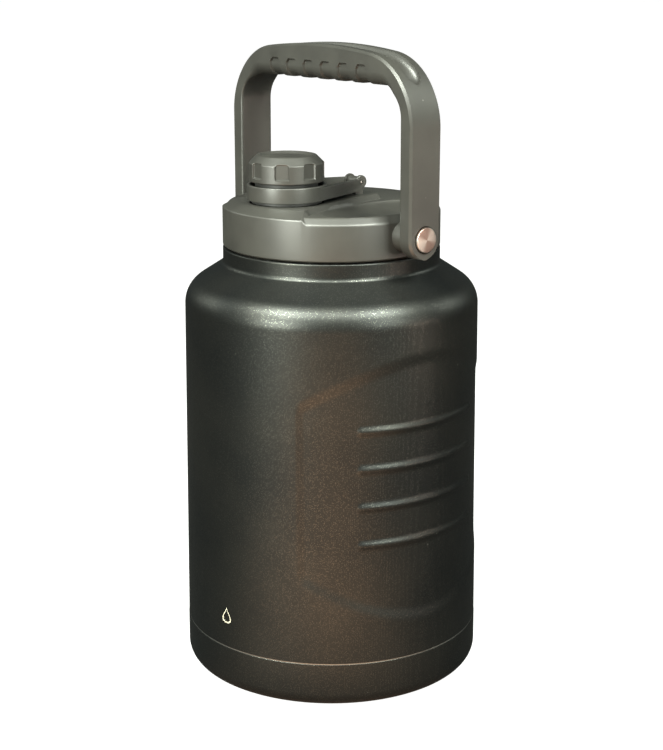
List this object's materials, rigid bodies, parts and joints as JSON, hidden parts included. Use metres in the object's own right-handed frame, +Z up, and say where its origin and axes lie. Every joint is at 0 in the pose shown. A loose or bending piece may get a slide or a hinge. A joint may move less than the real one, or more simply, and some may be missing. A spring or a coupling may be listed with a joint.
{
  "type": "large water jug",
  "caption": "Large insulated water jug with a screw lid, a swinging bail handle on capped pins, and a tethered screw cap over an off-centre spout.",
  "frame": {"origin": "centre of the foot on the surface that the jug stands on", "axes": "+Z up through the neck; -Y towards the spout; the handle's pivot axis lies along X"},
  "size_m": [0.1604, 0.1604, 0.3392],
  "materials": {
    "powder_coat": "dark graphite powder coat with a fine metallic fleck, satin",
    "satin_plastic": "dark grey moulded plastic, satin with a fine grain",
    "inner_plastic": "near-black moulded plastic, matt",
    "steel": "stainless steel, fine brushed",
    "brushed_disc": "stainless steel, radially brushed",
    "brass": "plain turned brass",
    "silicone": "food-grade silicone, pale, soft sheen",
    "rubber": "black rubber, matt",
    "foam": "rigid insulating foam, matt"
  },
  "bodies": {
    "jug": {"outer_shell": "powder_coat", "base_cup": "powder_coat", "foot_pad": "rubber", "port_seal": "silicone", "inner_liner": "steel", "getter_cup": "steel"},
    "lid_seal": {"lid_gasket": "silicone"},
    "lid": {"lid_shell": "satin_plastic", "lid_plug": "inner_plastic", "lid_foam": "foam", "spout_seal": "silicone", "spout": "satin_plastic", "left_pivot_screw": "steel", "right_pivot_screw": "steel", "left_wave_washer": "steel", "right_wave_washer": "steel", "left_insert": "brass", "right_insert": "brass", "left_pin_cap": "brushed_disc", "right_pin_cap": "brushed_disc", "hinge_pin": "steel"},
    "bail": {"handle": "satin_plastic", "left_pivot_bush": "inner_plastic", "right_pivot_bush": "inner_plastic"},
    "tether": {"tether_arm": "satin_plastic"},
    "small_cap": {"chug_cap": "satin_plastic", "cap_core": "inner_plastic", "cap_gasket": "silicone", "cap_keeper": "inner_plastic"}
  },
  "joints": [
    {"name": "lid_lift", "type": "slide", "parent": "jug", "child": "lid_seal", "axis": [0, 0, 1], "range_m": [0, 0.1]},
    {"name": "lid_turn", "type": "hinge", "parent": "lid_seal", "child": "lid", "pos_m": [0, 0, 0.2327], "axis": [0, 0, 1], "range_deg": [0, 540]},
    {"name": "handle_swing", "type": "hinge", "parent": "lid", "child": "bail", "pos_m": [0, 0, 0.2445], "axis": [1, 0, 0], "range_deg": [-105, 105]},
    {"name": "tether_flip", "type": "hinge", "parent": "lid", "child": "tether", "pos_m": [0, 0.0166, 0.2648], "axis": [-1, 0, 0], "range_deg": [0, 46]},
    {"name": "cap_turn", "type": "hinge", "parent": "tether", "child": "small_cap", "pos_m": [0, -0.0304, 0.27], "axis": [0, 0, 1], "range_deg": [0, 450]}
  ]
}
